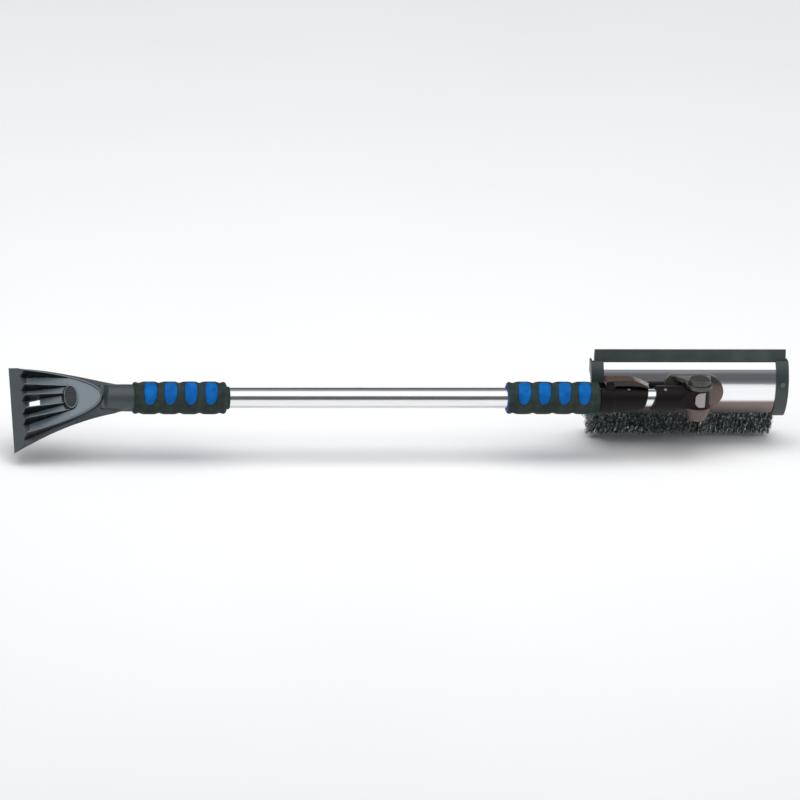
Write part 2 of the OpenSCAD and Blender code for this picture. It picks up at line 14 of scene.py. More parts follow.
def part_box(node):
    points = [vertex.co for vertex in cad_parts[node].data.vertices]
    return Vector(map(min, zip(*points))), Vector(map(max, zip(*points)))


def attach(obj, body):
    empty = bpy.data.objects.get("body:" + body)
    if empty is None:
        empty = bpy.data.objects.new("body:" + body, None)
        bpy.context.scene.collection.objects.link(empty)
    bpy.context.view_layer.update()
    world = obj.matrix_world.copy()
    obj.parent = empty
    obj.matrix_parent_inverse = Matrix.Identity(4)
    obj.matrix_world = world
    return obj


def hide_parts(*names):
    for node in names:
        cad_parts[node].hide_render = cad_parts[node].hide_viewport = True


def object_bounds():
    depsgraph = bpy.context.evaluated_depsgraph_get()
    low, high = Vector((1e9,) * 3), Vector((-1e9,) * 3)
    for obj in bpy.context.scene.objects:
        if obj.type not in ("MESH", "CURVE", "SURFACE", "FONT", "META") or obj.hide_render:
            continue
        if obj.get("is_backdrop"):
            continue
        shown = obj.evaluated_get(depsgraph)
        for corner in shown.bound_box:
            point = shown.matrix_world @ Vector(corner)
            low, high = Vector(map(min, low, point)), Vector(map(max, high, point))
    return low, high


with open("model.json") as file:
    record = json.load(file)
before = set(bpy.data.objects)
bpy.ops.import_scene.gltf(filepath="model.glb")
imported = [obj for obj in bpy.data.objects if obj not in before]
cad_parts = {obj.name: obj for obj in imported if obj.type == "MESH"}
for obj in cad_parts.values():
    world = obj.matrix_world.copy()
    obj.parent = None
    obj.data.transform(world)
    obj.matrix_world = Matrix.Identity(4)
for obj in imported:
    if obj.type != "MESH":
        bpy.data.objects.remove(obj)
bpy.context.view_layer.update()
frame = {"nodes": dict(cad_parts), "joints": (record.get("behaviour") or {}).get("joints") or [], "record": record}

MM = 0.001


# Places, all taken from the frame ---------------------------------------------------------------

def box_mm(node):
    lo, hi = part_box(node)
    return lo / MM, hi / MM


def joint_place(name):
    joint = next(j for j in frame["joints"] if j["name"] == name)
    return Vector(joint["pos_m"]) / MM


def mount_axis(name):
    mount = next(m for m in frame["record"]["mounts"] if m["name"] == name)
    return Vector(mount["axis"]).normalized()


tube_lo, tube_hi = box_mm("outer_tube")
AXIS_Y = (tube_lo.y + tube_hi.y) / 2
AXIS_Z = (tube_lo.z + tube_hi.z) / 2
PIVOT = joint_place("head_pivot")
HEAD_X = sum(corner.x for corner in box_mm("back_shell")) / 2


# Small maths ------------------------------------------------------------------------------------

def share(x, start, end):
    return np.clip((x - start) / (end - start), 0.0, 1.0)


def smooth(x, start, end):
    t = share(x, start, end)
    return t * t * (3 - 2 * t)


def mix(a, b, k):
    return a + (b - a) * k


# Mesh helpers -----------------------------------------------------------------------------------

def new_piece(name, verts, faces, body, material, replaced=(), sharp=35):
    """A finished piece from vertices in mm and faces."""
    mesh = bpy.data.meshes.new(name)
    mesh.from_pydata((np.asarray(verts, float) * MM).tolist(), [], faces)
    mesh.validate()
    mesh.shade_smooth()
    mesh.set_sharp_from_angle(angle=math.radians(sharp))
    piece = bpy.data.objects.new(name, mesh)
    bpy.context.scene.collection.objects.link(piece)
    mesh.materials.append(material)
    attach(piece, body)
    if replaced:
        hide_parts(*replaced)
    return piece


def grid_faces(rows, columns, wrap=False, start=0, flip=False):
    """Quads of a rows x columns grid of vertices."""
    faces = []
    last = columns if wrap else columns - 1
    for i in range(rows - 1):
        for j in range(last):
            k = (j + 1) % columns
            a, b = start + i * columns + j, start + i * columns + k
            quad = (a, b, b + columns, a + columns)
            faces.append(quad[::-1] if flip else quad)
    return faces


def lathe(profile, x0, segments=96):
    """Closed solid turned about the handle's axis from a closed profile of (distance along X, radius)."""
    turns = np.linspace(0, 2 * math.pi, segments, endpoint=False)
    verts = [(x0 + a, AXIS_Y + r * math.cos(t), AXIS_Z + r * math.sin(t))
             for a, r in profile for t in turns]
    faces = grid_faces(len(profile), segments, wrap=True)
    last = (len(profile) - 1) * segments
    for j in range(segments):
        k = (j + 1) % segments
        faces.append((last + j, last + k, k, j))
    return verts, faces


def moulded(node, body, material, slot, voxel=0.5, passes=6):
    """A copy of a CAD node with its edges and corners rounded the way a moulding has them."""
    source = frame["nodes"][node]
    piece = bpy.data.objects.new(node + "_moulded", source.data.copy())
    bpy.context.scene.collection.objects.link(piece)
    remesh = piece.modifiers.new("remesh", "REMESH")
    remesh.mode = "VOXEL"
    remesh.voxel_size = voxel * MM
    relax = piece.modifiers.new("relax", "SMOOTH")
    relax.factor = 0.5
    relax.iterations = passes
    bpy.context.view_layer.update()
    shaped = piece.evaluated_get(bpy.context.evaluated_depsgraph_get())
    mesh = bpy.data.meshes.new_from_object(shaped)
    piece.modifiers.clear()
    piece.data = mesh
    mesh.shade_smooth()
    mesh.materials.clear()
    mesh.materials.append(material)
    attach(piece, body)
    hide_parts(node)
    return piece


def keep_node(node, material, bevel=0.0):
    """A CAD node that is shown as it is, with its material and a fine edge."""
    shown = frame["nodes"][node]
    shown.data.materials.clear()
    shown.data.materials.append(material)
    if bevel:
        edge = shown.modifiers.new("edge", "BEVEL")
        edge.width = bevel * MM
        edge.segments = 2
        edge.limit_method = "ANGLE"
        edge.angle_limit = math.radians(40)
        edge.harden_normals = True
    return shown


# Materials --------------------------------------------------------------------------------------

class Shader:
    """A small builder around one Principled material."""

    def __init__(self, name):
        self.material = bpy.data.materials.new(name)
        self.material.use_nodes = True
        self.tree = self.material.node_tree
        self.main = self.tree.nodes["Principled BSDF"]
        self.place = self.tree.nodes.new("ShaderNodeTexCoord").outputs["Object"]

    def node(self, kind, **inputs):
        made = self.tree.nodes.new(kind)
        for key, value in inputs.items():
            self.put(made.inputs[key.replace("_", " ")], value)
        return made

    def put(self, socket, value):
        if isinstance(value, bpy.types.NodeSocket):
            self.tree.links.new(value, socket)
        else:
            socket.default_value = value

    def set(self, **inputs):
        for key, value in inputs.items():
            self.put(self.main.inputs[key.replace("_", " ")], value)

    def stretched(self, scale):
        mapping = self.node("ShaderNodeMapping", Vector=self.place)
        mapping.inputs["Scale"].default_value = scale
        return mapping.outputs["Vector"]

    def noise(self, scale, detail=3.0, vector=None, roughness=0.55):
        made = self.node("ShaderNodeTexNoise", Scale=scale, Detail=detail, Roughness=roughness)
        self.put(made.inputs["Vector"], vector or self.place)
        return made.outputs["Fac"]

    def ramp(self, value, *stops):
        made = self.node("ShaderNodeValToRGB", Fac=value)
        ends = made.color_ramp.elements
        while len(ends) < len(stops):
            ends.new(0.5)
        for end, (position, colour) in zip(ends, stops):
            end.position = position
            end.color = (*colour, 1.0)
        return made.outputs["Color"]

    def range(self, value, low, high):
        made = self.node("ShaderNodeMapRange", Value=value)
        made.inputs["To Min"].default_value = low
        made.inputs["To Max"].default_value = high
        return made.outputs["Result"]

    def range_from(self, value, start, end):
        made = self.node("ShaderNodeMapRange", Value=value)
        made.inputs["From Min"].default_value = start
        made.inputs["From Max"].default_value = end
        return made.outputs["Result"]

    def blend(self, a, b, factor):
        made = self.tree.nodes.new("ShaderNodeMix")
        made.data_type = "RGBA"
        self.put(made.inputs["Factor"], factor)
        self.put(made.inputs["A"], a)
        self.put(made.inputs["B"], b)
        return made.outputs["Result"]

    def bump(self, height, strength, distance_mm):
        made = self.node("ShaderNodeBump", Height=height, Strength=strength, Distance=distance_mm * MM)
        self.set(Normal=made.outputs["Normal"])

    def edges(self, low=0.52, high=0.6):
        """1 along worn convex edges, 0 elsewhere."""
        sharp = self.node("ShaderNodeNewGeometry").outputs["Pointiness"]
        return self.range_from(sharp, low, high)

    def maths(self, operation, a, b):
        made = self.node("ShaderNodeMath")
        made.operation = operation
        self.put(made.inputs[0], a)
        self.put(made.inputs[1], b)
        return made.outputs[0]


def linear(*rgb):
    """Linear colour from display values of 0 to 255."""
    out = []
    for c in rgb:
        c = c / 255
        out.append(c / 12.92 if c <= 0.04045 else ((c + 0.055) / 1.055) ** 2.4)
    return tuple(out)


FLOW = (1.0, 2.5, 2.5)       # flow marks of a moulding are longer along X


def plastic(name, colour, rough=0.38, grain=0.05, grain_scale=2600, worn=0.25, gloss=0.5):
    """Moulded plastic: a fine spark-eroded grain, faint flow marks and lighter rubbed edges."""
    s = Shader(name)
    rubbed = tuple(min(1.0, c * 1.9 + 0.02) for c in colour)
    flow = s.noise(14, 4, s.stretched(FLOW))
    base = s.ramp(flow, (0.3, tuple(c * 0.86 for c in colour)), (0.72, tuple(c * 1.12 for c in colour)))
    wear = s.maths("MULTIPLY", s.edges(), s.range(s.noise(160, 4), 0.0, worn))
    s.set(Base_Color=s.blend(base, (*rubbed, 1), wear))
    s.set(Roughness=s.range(s.noise(60, 4), rough - 0.06, rough + 0.09))
    s.bump(s.noise(grain_scale, 2), grain, 0.15)
    s.main.inputs["Specular IOR Level"].default_value = gloss
    return s.material


def scraper_plastic(name, body, tongue, wall_shade_and_flow):
    """One moulding with a grained body, a smooth lighter tongue and painted shade on its steep walls; the shade's
    colour also darkens the flow marks.
    """
    s = Shader(name)
    tone_and_shade = s.node("ShaderNodeAttribute")
    tone_and_shade.attribute_name = "tone_and_shade"
    flow = s.noise(14, 4, s.stretched(FLOW))
    # The steep walls' near-black colour is painted shade.
    tone = s.ramp(s.range_from(tone_and_shade.outputs["Fac"], -1, 1), (0.0, wall_shade_and_flow), (0.5, body), (1.0, tongue))
    s.set(Base_Color=s.blend(tone, (*wall_shade_and_flow, 1), s.range(flow, 0.0, 0.22)))
    s.set(Roughness=s.range(s.noise(60, 4), 0.3, 0.42))
    s.bump(s.noise(1800, 2), 0.1, 0.15)
    return s.material


def mottled_plastic(name, below, above, start, end, by_height=True, lustre=0.35):
    """Glossy speckled plastic with painted light: its tone changes with height in metres, or with how far it faces
    up.
    """
    s = Shader(name)
    if by_height:
        source = s.place
    else:
        source = s.node("ShaderNodeNewGeometry").outputs["Normal"]
    level = s.node("ShaderNodeSeparateXYZ", Vector=source).outputs["Z"]
    # Painted light: the tone follows height, or how far the face points up.
    tone = s.blend((*below, 1), (*above, 1), s.range_from(level, start, end))
    speck = s.ramp(s.noise(1100, 4), (0.42, (0, 0, 0)), (0.68, (0.5, 0.5, 0.5)))
    pale = tuple(min(1.0, c * 2.2 + 0.03) for c in below)
    s.set(Base_Color=s.blend(tone, (*pale, 1), speck))
    s.set(Roughness=s.range(s.noise(60, 4), 0.16, 0.3))
    s.bump(s.noise(2600, 2), 0.04, 0.15)
    s.main.inputs["Metallic"].default_value = lustre
    return s.material


def foam(name, colour, rough=0.7, pore=0.35):
    """Closed-cell foam: tiny pores in a smooth skin, and soft light mottling."""
    s = Shader(name)
    mottle = s.noise(90, 5)
    dark = tuple(c * 0.75 for c in colour)
    pale = tuple(c * 1.3 + 0.004 for c in colour)
    s.set(Base_Color=s.ramp(mottle, (0.32, dark), (0.7, pale)))
    cells = s.node("ShaderNodeTexVoronoi", Scale=1500.0, Vector=s.place).outputs["Distance"]
    s.bump(s.maths("ADD", cells, s.noise(700, 3)), pore, 0.12)
    s.set(Roughness=s.range(s.noise(300, 3), rough - 0.08, rough + 0.1))
    s.main.inputs["Specular IOR Level"].default_value = 0.12
    return s.material


def metal(name, colour, rough=0.22, grain=0.04, along=(1.5, 90.0, 90.0), scale=30):
    """Metal with fine lines along the way it was drawn or turned."""
    s = Shader(name)
    lines = s.noise(scale, 6, s.stretched(along))
    dull = tuple(c * 0.82 for c in colour)
    s.set(Base_Color=s.ramp(lines, (0.25, dull), (0.75, colour)))
    s.set(Metallic=1.0, Roughness=s.range(lines, rough - 0.07, rough + 0.1))
    s.bump(lines, grain, 0.05)
    return s.material


SHADE_Z = (PIVOT.z - 17, PIVOT.z - 13)   # the shell's painted reflection turns dark and warm below these heights


def bright_shell(name, colour, shade):
    """Bright extruded aluminium with die lines along its length, and a lower band painted dark and warm as a
    reflection.
    """
    s = Shader(name)
    lines = s.noise(26, 6, s.stretched((0.6, 110.0, 110.0)))
    height = s.node("ShaderNodeSeparateXYZ", Vector=s.place).outputs["Z"]
    above = s.range_from(height, SHADE_Z[0] * MM, SHADE_Z[1] * MM)
    bright_metal = s.ramp(lines, (0.25, tuple(c * 0.93 for c in colour)), (0.75, colour))
    # Below SHADE_Z the colour is a painted dark, warm reflection.
    s.set(Base_Color=s.blend((*shade, 1), bright_metal, above))
    s.set(Metallic=1.0, Roughness=s.range(lines, 0.05, 0.12))
    s.bump(lines, 0.015, 0.05)
    return s.material


def rubber(name, colour, rough=0.42):
    """Extruded rubber: faint lines along the extrusion, slightly dusty."""
    s = Shader(name)
    dust = s.noise(45, 5)
    s.set(Base_Color=s.ramp(dust, (0.35, colour), (0.8, tuple(c * 1.5 + 0.01 for c in colour))))
    s.set(Roughness=s.range(dust, rough - 0.05, rough + 0.15))
    s.bump(s.noise(40, 3, s.stretched((0.5, 30, 30))), 0.12, 0.1)
    return s.material


def filament(name, dark, pale):
    """Crimped filaments: each has its own shade, and short highlights are painted along their crimps."""
    s = Shader(name)
    strand = s.node("ShaderNodeNewGeometry").outputs["Random Per Island"]
    crimp = s.noise(420, 2, s.stretched((1.0, 0.7, 0.7)))
    shade = s.ramp(strand, (0.35, dark), (1.0, tuple(c * 0.22 for c in pale)))
    # Painted highlights: pale spots along the crimps.
    painted_glint = s.ramp(crimp, (0.56, (0, 0, 0)), (0.61, (1, 1, 1)))
    s.set(Base_Color=s.blend(shade, (*pale, 1), painted_glint), Roughness=0.28)
    s.bump(s.noise(2500, 2), 0.1, 0.05)
    return s.material


M = {
    # The last scraper colour is painted shade on the steep walls, and it also darkens the flow marks.
    "scraper": scraper_plastic("scraper_grey", linear(67, 76, 79), linear(118, 131, 139), linear(8, 16, 18)),
    "badge": plastic("badge_dark", linear(44, 50, 53), rough=0.55, grain=0.6, grain_scale=1500, worn=0.1),
    "black": plastic("lock_black", linear(22, 16, 19), rough=0.42, grain=0.04, gloss=0.14),
    # Pivot plastic: the change with height, from warm brown low down to darker green-grey above, is painted light.
    "brown": mottled_plastic("pivot_brown", linear(94, 80, 76), linear(58, 66, 64),
                             (PIVOT.z - 4) * MM, (PIVOT.z + 14) * MM, lustre=0.5),
    # Lever: the brown on its upward faces is painted light from above; its sides keep the dark plastic's colour.
    "lever": mottled_plastic("lever_black_lit_top", linear(34, 27, 28), linear(98, 78, 68), 0.35, 0.85,
                             by_height=False, lustre=0.3),
    "cap": plastic("cap_green_grey", linear(52, 62, 62), rough=0.36, grain=0.06),
    "block": plastic("block_dark", linear(38, 43, 43), rough=0.5, grain=0.1),
    "bush": plastic("bush_white", linear(215, 215, 208), rough=0.4, grain=0.05, worn=0.0),
    "foam": foam("foam_dark", linear(46, 57, 53)),
    "blue": foam("foam_blue", linear(0, 94, 170), rough=0.6, pore=0.2),
    "tube": metal("tube_aluminium", (0.9, 0.905, 0.915), rough=0.13, grain=0.02),
    # The shell's second colour is the painted dark, warm reflection on its lower band.
    "shell": bright_shell("shell_aluminium", (0.95, 0.955, 0.97), (0.23, 0.185, 0.175)),
    "plate": metal("plate_aluminium", (0.62, 0.63, 0.64), rough=0.35),
    "insert": metal("insert_metal", (0.4, 0.365, 0.36), rough=0.42, grain=0.3, along=(1, 1, 1), scale=1400),
    "screw": metal("screw_dark", (0.2, 0.22, 0.22), rough=0.25, along=(1, 1, 1), scale=900),
    "steel": metal("screw_steel", (0.72, 0.72, 0.72), rough=0.2, along=(1, 1, 1), scale=900),
    "rubber": rubber("squeegee_rubber", linear(54, 64, 62)),
    # The pale bristle colour is painted highlights on the crimps, and a little of it tints each strand.
    "bristle": filament("bristle_dark", linear(4, 12, 13), linear(205, 220, 220)),
}


# Scraper ----------------------------------------------------------------------------------------
# u runs from the rear grip to the blade's edge, w across, n towards the front.

GRIP_X = box_mm("rear_grip_cover")[0].x
FRONT = mount_axis("hang_slot")
ACROSS = Vector((0, FRONT.z, -FRONT.y))
SCRAPER_LEN = GRIP_X - box_mm("scraper_head")[0].x
HALF_BLADE = 58.0
FOOT_U = SCRAPER_LEN - 19   # where the plate levels out before the blade
RIM_U = SCRAPER_LEN - 14    # where the ribs and the tongue's rim end
RAMP_U = SCRAPER_LEN - 12   # where the blade's bevel begins
APEX_U = 39.5               # round end of the raised tongue
EDGE_N = -32.5              # blade's edge
EDGE_T = 0.5
RAMP_N = -23.6              # front of the bevel
STEP_N = 4.0                # top of the body between the neck and the tongue
NECK_R = 16.4
NECK_U = 31.5
WALL = 2.5
SKIN = 0.8                  # least wall, kept at the edges
RIM_T = 1.8
RIB_T = 1.7
RIBS = ((9.0, 6.0), (23.3, 15.9))    # distance from the middle at the blade and at the badge
TONGUE_W = HALF_BLADE - 16
TONGUE_POWER = 0.48
FOOT_END_U = 75.0           # from here on the foot of the tongue's wall lies just above the skirt
BADGE_U = 75.6
BADGE_A = 7.7               # half sizes of the badge along u and across
BADGE_B = 14.9
BADGE_RIM_N = 4.0
BADGE_SEAT_N = 2.4
SLOT_HALF = (6.25, 6.5)
BELOW_ALL = -40             # lower than any face of the scraper


def rim_n(u):
    """Straight top of the tongue's rim and of the ribs."""
    return 7.6 - 0.16 * (u - APEX_U)


def rim_top(u):
    """The rim's top with its end, where it turns down to the blade's bevel."""
    return np.where(u < RIM_U, rim_n(u), mix(rim_n(RIM_U), RAMP_N, smooth(u, RIM_U, RAMP_U)))


def plate_n(u):
    """The plate runs straight down to the blade's edge."""
    return EDGE_N + EDGE_T + 0.49 * (SCRAPER_LEN - u)


def floor_n(u):
    """Front of the tongue between its ribs, which turns into the plate."""
    return np.where(u < FOOT_U, np.minimum(rim_n(u) - 0.9, plate_n(u)),
                    mix(plate_n(FOOT_U), RAMP_N, share(u, FOOT_U, RAMP_U)))


def skirt_w(u):
    """Half width of the scraper: 15 at the grip, 18 past the neck, then widening to the blade."""
    return 15 + 3 * share(u, 6, 22) + (HALF_BLADE - 18) * share(u, 12, SCRAPER_LEN) ** 1.25


def skirt_n(u):
    """Height of the skirt's edge: level with the handle's axis at first, then down to the blade."""
    return EDGE_N * share(u, 10, SCRAPER_LEN) ** 2.8


def tongue_depth(u, a):
    """Distance inside the tongue's outline, below 0 outside it."""
    short = np.maximum(APEX_U - u, 0)
    side = TONGUE_W * share(u, APEX_U, RAMP_U) ** TONGUE_POWER - a - short
    ahead = u - (APEX_U + (RAMP_U - APEX_U) * (np.minimum(a, 60) / TONGUE_W) ** (1 / TONGUE_POWER))
    together = np.abs(side * ahead) / np.sqrt(side ** 2 + ahead ** 2 + 1e-9)
    return np.where(np.minimum(side, ahead) > 0, together, -together)


def around_tongue(u, a, depth):
    """The body around the tongue, from the foot of its rim down to the skirt's edge."""
    foot = mix(STEP_N, skirt_n(u) + 0.8, share(u, APEX_U - 1.5, FOOT_END_U))
    room = np.maximum(skirt_w(u) - a - depth, RIM_T + 2)
    return mix(foot, skirt_n(u), share(-depth, RIM_T + 1.4, room))


def rib_middle(u, rib):
    """Distance of a rib from the scraper's middle line."""
    blade_w, badge_w = rib
    return badge_w + (blade_w - badge_w) * (u - BADGE_U) / (RAMP_U - BADGE_U)


def badge_oval(u, w, grow_a, grow_b):
    """0 at the badge's middle, and 1 on its outline when that is grown by these amounts."""
    return np.sqrt(((u - BADGE_U) / (BADGE_A + grow_a)) ** 2 + (w / (BADGE_B + grow_b)) ** 2)


def neck_height(u, a):
    """Round neck that drops to a step before the tongue."""
    k = smooth(u, NECK_U - 1, NECK_U + 4.5)
    round_top = np.sqrt(np.maximum(NECK_R ** 2 - a ** 2, 0))
    return np.where(a < NECK_R, mix(round_top, np.minimum(round_top, STEP_N), k), BELOW_ALL)


def scraper_front(u, w):
    """Height of the front face."""
    a = np.abs(w)
    depth = tongue_depth(u, a)
    rim = rim_top(u)
    n = mix(around_tongue(u, a, depth), rim, 1 - smooth(-depth, RIM_T - 0.3, RIM_T + 1.2))
    n = mix(n, np.minimum(floor_n(u), rim), smooth(depth, 0.0, 1.0))
    for rib in RIBS:
        on_rib = 1 - smooth(np.abs(a - rib_middle(u, rib)), RIB_T / 2 - 0.3, RIB_T / 2 + 0.4)
        n = mix(n, np.maximum(rim - 0.1, n), on_rib * (u > BADGE_U) * (depth > 0))
    n = mix(n, np.maximum(n, BADGE_RIM_N), 1 - smooth(badge_oval(u, w, 0.9, 0.9), 0.97, 1.1))
    n = mix(n, BADGE_SEAT_N, 1 - smooth(badge_oval(u, w, -1.1, -1.3), 0.98, 1.06))
    bevel = mix(RAMP_N, EDGE_N + EDGE_T, share(u, RAMP_U, SCRAPER_LEN))
    n = np.where(u < RAMP_U, n, bevel)
    neck = np.where(u < APEX_U, neck_height(u, a), BELOW_ALL)
    return np.maximum(neck, n) - 0.5 * smooth(a, skirt_w(u) - SKIN, skirt_w(u))


def scraper_back(u, w):
    """Height of the back face, which is hollow behind the tongue."""
    a = np.abs(w)
    plane = skirt_n(u) - mix(WALL, SKIN, share(u, FOOT_U, SCRAPER_LEN))
    hollow = smooth(tongue_depth(u, a), WALL, WALL + 1.2)
    hollow = hollow * smooth(u, 46, 48) * (1 - smooth(u, FOOT_U - 1, FOOT_U))
    n = mix(plane, floor_n(u) - WALL, hollow)
    neck = -np.sqrt(np.maximum(NECK_R ** 2 - a ** 2, 0)) * (1 - smooth(u, NECK_U - 1, NECK_U + 8))
    return np.where(a < NECK_R, np.minimum(n, neck), n)


def scraper_tone_and_shade(u, w, n):
    """1 on the smooth tongue and between the ribs, 0 on the grained body, and -1 on steep walls, where shade is
    painted.
    """
    a = np.abs(w)
    slope_u = np.gradient(n, axis=0) / np.gradient(u, axis=0)
    slope_w = np.gradient(n, axis=1) / np.gradient(w, axis=1)
    # Steep walls are marked -1 so that shade is painted on them.
    steep = smooth(np.hypot(slope_u, slope_w), 0.7, 1.5) * (u > APEX_U - 3)
    depth = tongue_depth(u, a)
    bright = smooth(depth, 0.2, 1.0) * (1 - smooth(u, FOOT_U - 1.0, FOOT_U + 0.5))
    tone_and_shade = bright * (1 - steep) - steep
    on_tops = (1 - smooth(np.abs(depth + RIM_T / 2), 0.4, 1.0)) * (u > APEX_U)
    for rib in RIBS:
        on_rib = 1 - smooth(np.abs(a - rib_middle(u, rib)), 0.35, 0.8)
        on_tops = np.maximum(on_tops, on_rib * (u > BADGE_U + BADGE_A) * (depth > 0))
    on_tops = on_tops * (u < RIM_U)
    return np.maximum(tone_and_shade, mix(tone_and_shade, 0.75, on_tops))


def plate_faces(rows, columns, open_cell):
    """Front, back and edge faces of a plate whose two grids of vertices follow each other."""
    back = rows * columns
    faces = []
    for i in range(rows - 1):
        for j in range(columns - 1):
            if open_cell[i, j]:
                continue
            a = i * columns + j
            b, c, d = a + 1, a + columns + 1, a + columns
            faces.append((a, d, c, b))
            faces.append((a + back, b + back, c + back, d + back))
            for di, dj, p, q in ((-1, 0, b, a), (1, 0, d, c), (0, -1, a, d), (0, 1, c, b)):
                ni, nj = i + di, j + dj
                outside = not (0 <= ni < rows - 1 and 0 <= nj < columns - 1)
                if outside or open_cell[ni, nj]:
                    faces.append((q, q + back, p + back, p))
    return faces


def scraper():
    rows, columns = 201, 261
    us = np.linspace(0, SCRAPER_LEN, rows)
    vs = np.linspace(-1, 1, columns)
    u, v = np.meshgrid(us, vs, indexing="ij")
    w = v * skirt_w(u)
    slot_u = GRIP_X             # the slot is at the frame's origin

    def placed(n):
        flat = np.stack([u.ravel(), w.ravel(), n.ravel()], axis=1)
        basis = np.array([(-1, 0, 0), tuple(ACROSS), tuple(FRONT)])
        return flat @ basis + np.array((GRIP_X, AXIS_Y, AXIS_Z))

    front = scraper_front(u, w)
    back = np.minimum(scraper_back(u, w), front - SKIN)
    verts = np.concatenate([placed(front), placed(back)])
    tone_and_shade = np.concatenate([scraper_tone_and_shade(u, w, front).ravel(), np.zeros(front.size)])
    cell_u, cell_w = u[:-1, :-1], w[:-1, :-1]
    in_slot = (np.abs(cell_u - slot_u) < SLOT_HALF[0]) & (np.abs(cell_w) < SLOT_HALF[1])
    faces = plate_faces(rows, columns, in_slot)
    piece = new_piece("scraper_shell", verts, faces, "handle", M["scraper"],
                      ("scraper_head",), sharp=50)
    # This layer carries the tongue's tone and the painted shade on steep walls.
    layer = piece.data.attributes.new("tone_and_shade", "FLOAT", "POINT")
    layer.data.foreach_set("value", tone_and_shade.astype(np.float32))


# Foam grips -------------------------------------------------------------------------------------

LOBES = 4
LOBE_DEPTH = 1.5
LOBE_SPREAD = 3.4           # half width of the groove between two lobes
END_LEN = 4.5               # rounded end of a cover, and how far it draws in
END_DROP = 3.2
COLLAR = 4.0                # thin sleeve that the rear cover leaves on the tube
OVAL_PITCH = 24.6
OVAL_TILT = math.radians(49)
OVAL_HALF = (8.2, 19.0)     # half width and half length
OVAL_POWER = 2.5            # a little squarer than an ellipse
OVAL_LEAN = 1.2
OVAL_TAPER = 0.05           # the upper end is wider by this share
WINDOW_DISH = 0.9           # soft dip around a window, and the depth of the window itself
WINDOW_DEPTH = 0.8
PAD_FIT = 0.985             # size of a pad against its window
PAD_SINK = 1.3
PAD_DOME = 2.1
PAD_BACK = 0.4
PAD_GRID = (12, 72)         # rings and spokes


def grip_radius(x, length, outer):
    """Scalloped outline: shallow lobes, end rims and rounded ends."""
    middle = x - length / 2
    grooves = [(i - LOBES / 2) * OVAL_PITCH for i in range(LOBES + 1)]
    r = outer - sum(LOBE_DEPTH * np.exp(-((middle - g) / LOBE_SPREAD) ** 2) for g in grooves)
    end = np.minimum(x, length - x)
    return r - END_DROP * (1 - np.sqrt(np.maximum(0, 1 - (1 - share(end, 0, END_LEN)) ** 2)))


def oval_field(x, turn, centre_x, outer):
    """0 at an oval's middle and 1 on its outline."""
    along = turn * outer
    lean = OVAL_LEAN * along / OVAL_HALF[1]
    fat = OVAL_HALF[0] * (1 + OVAL_TAPER * along / OVAL_HALF[1])
    return (np.abs((x - centre_x - lean) / fat) ** OVAL_POWER
            + np.abs(along / OVAL_HALF[1]) ** OVAL_POWER) ** (1 / OVAL_POWER)


def oval_places(length):
    """Middle of each oval: distance along the grip, and turn about the axis from -Y upwards."""
    for side in (0, 1):
        for i in range(LOBES):
            yield length / 2 + (i - (LOBES - 1) / 2) * OVAL_PITCH, OVAL_TILT + side * math.pi


def around(x0, x, turn, r):
    return np.stack([x0 + x, AXIS_Y - r * np.cos(turn), AXIS_Z + r * np.sin(turn)], axis=-1)


def add_lathe(verts, faces, profile, x0):
    """Adds a turned ring to a piece."""
    ring_verts, ring_faces = lathe(profile, x0)
    faces += [tuple(len(verts) + v for v in face) for face in ring_faces]
    verts += ring_verts


def grip(name):
    lo, hi = box_mm(name + "_grip_cover")
    length = hi.x - lo.x - (COLLAR if name == "rear" else 0)
    outer = (hi.y - lo.y) / 2
    cover(name, lo.x, length, outer)
    pads(name, lo.x, length, outer)


def cover(name, x0, length, outer):
    """Foam cover with a window for each oval, and its bore."""
    inner = (tube_hi.y - tube_lo.y) / 2 + 0.05
    rows, columns = 235, 200
    xs = np.linspace(0, length, rows)
    ts = np.linspace(0, 2 * math.pi, columns, endpoint=False)
    x, t = np.meshgrid(xs, ts, indexing="ij")
    r = grip_radius(x, length, outer)
    for centre_x, centre_turn in oval_places(length):
        turn = (t - centre_turn + math.pi) % (2 * math.pi) - math.pi
        field = oval_field(x, turn, centre_x, outer)
        r = r - WINDOW_DISH * (1 - smooth(field, 0.97, 1.12)) - WINDOW_DEPTH * (1 - smooth(field, 0.9, 0.98))
    skin = around(x0, x, t, r).reshape(-1, 3)
    ends = np.repeat([[0.0], [length]], columns, 1)
    bore = around(x0, ends, np.stack([ts, ts]), inner).reshape(-1, 3)
    verts = [tuple(v) for v in np.concatenate([skin, bore])]
    faces = grid_faces(rows, columns, wrap=True, flip=True)
    first_bore = rows * columns
    last_bore = first_bore + columns
    last_row = first_bore - columns
    for j in range(columns):
        k = (j + 1) % columns
        faces.append((j, k, first_bore + k, first_bore + j))
        faces.append((last_bore + j, last_bore + k, last_row + k, last_row + j))
        faces.append((first_bore + j, first_bore + k, last_bore + k, last_bore + j))
    if name == "rear":
        sleeve = [(length - 1, inner), (length - 1, inner + 3), (length + 1, inner + 1.3),
                  (length + COLLAR - 0.5, inner + 1.2), (length + COLLAR, inner + 0.8),
                  (length + COLLAR, inner)]
        add_lathe(verts, faces, sleeve, x0)
    new_piece(name + "_grip_foam", verts, faces, "handle", M["foam"],
              (name + "_grip_cover",), sharp=60)


